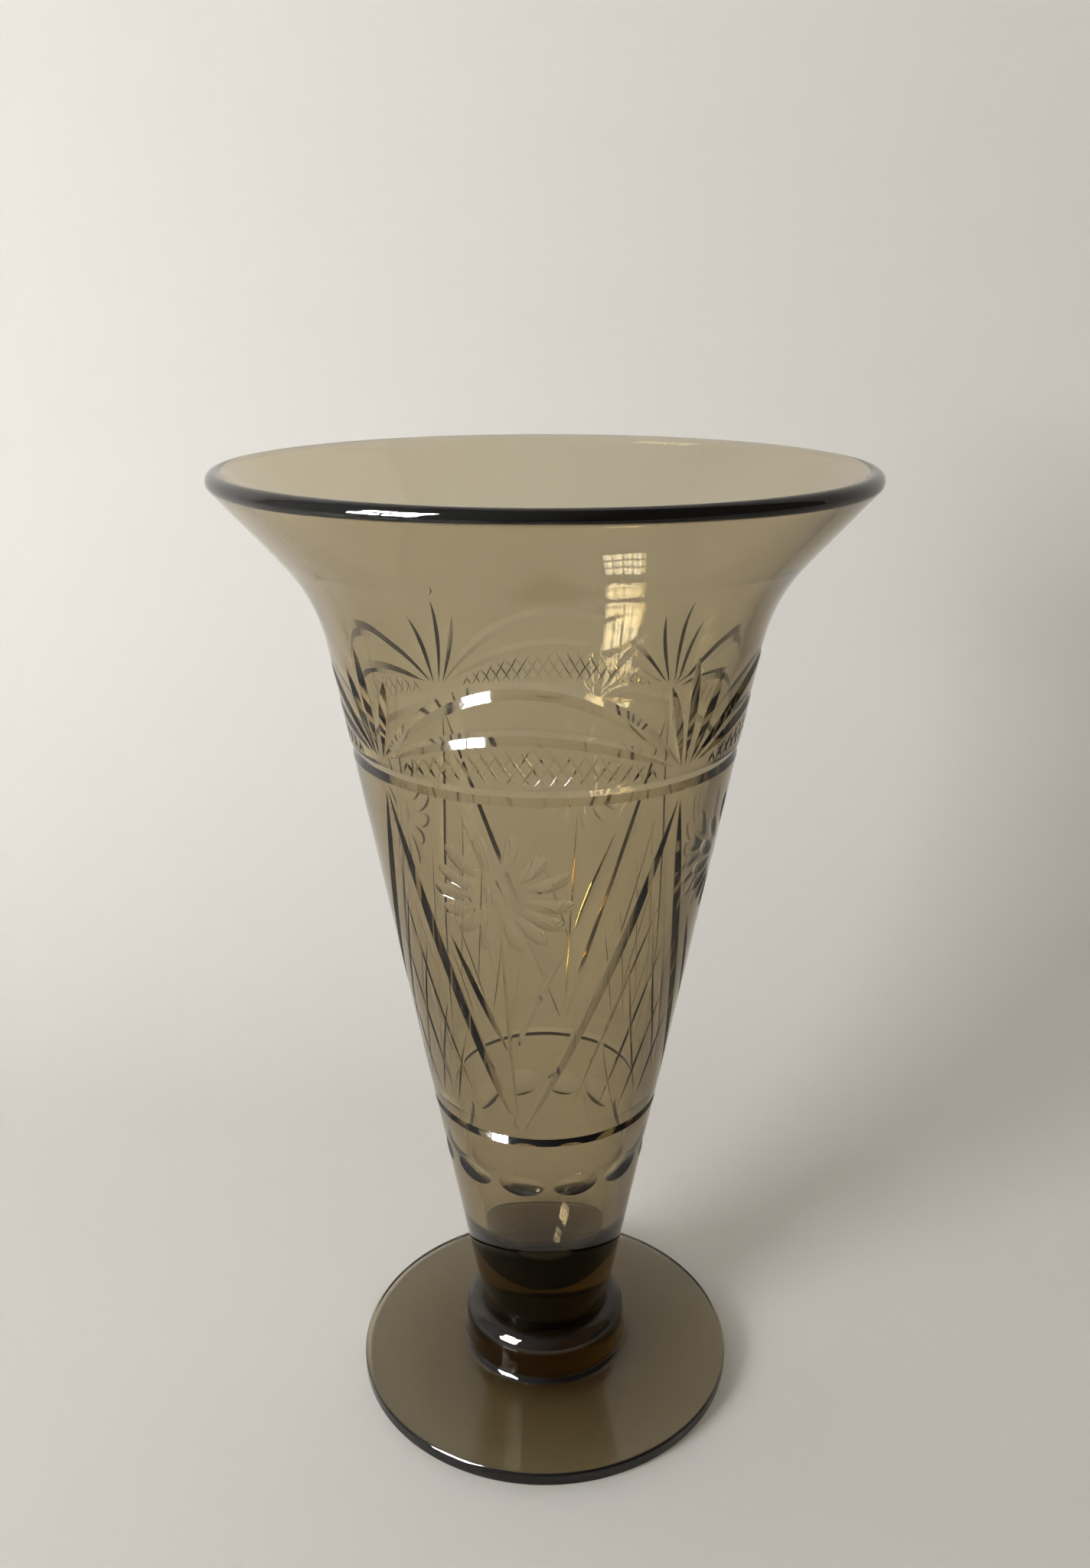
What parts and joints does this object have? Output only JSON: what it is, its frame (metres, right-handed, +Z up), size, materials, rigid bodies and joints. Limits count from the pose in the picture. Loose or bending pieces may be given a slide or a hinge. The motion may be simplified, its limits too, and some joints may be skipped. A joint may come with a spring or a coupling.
{
  "type": "footed cut-glass vase",
  "caption": "Flared vase of smoky brown glass on a round foot, with wheel-cut fans, arches, crossed mitres, a daisy and a row of lens cuts.",
  "frame": {"origin": "centre of the underside of the foot, on the table", "axes": "+Z up the axis of the vase; -Y towards the camera of the picture; +X to its right"},
  "size_m": [0.153, 0.153, 0.25],
  "materials": {
    "smoky_glass": "polished, clear, smoky brown"
  },
  "bodies": {
    "root": {"foot": "smoky_glass", "collar": "smoky_glass", "bowl": "smoky_glass"}
  },
  "joints": []
}
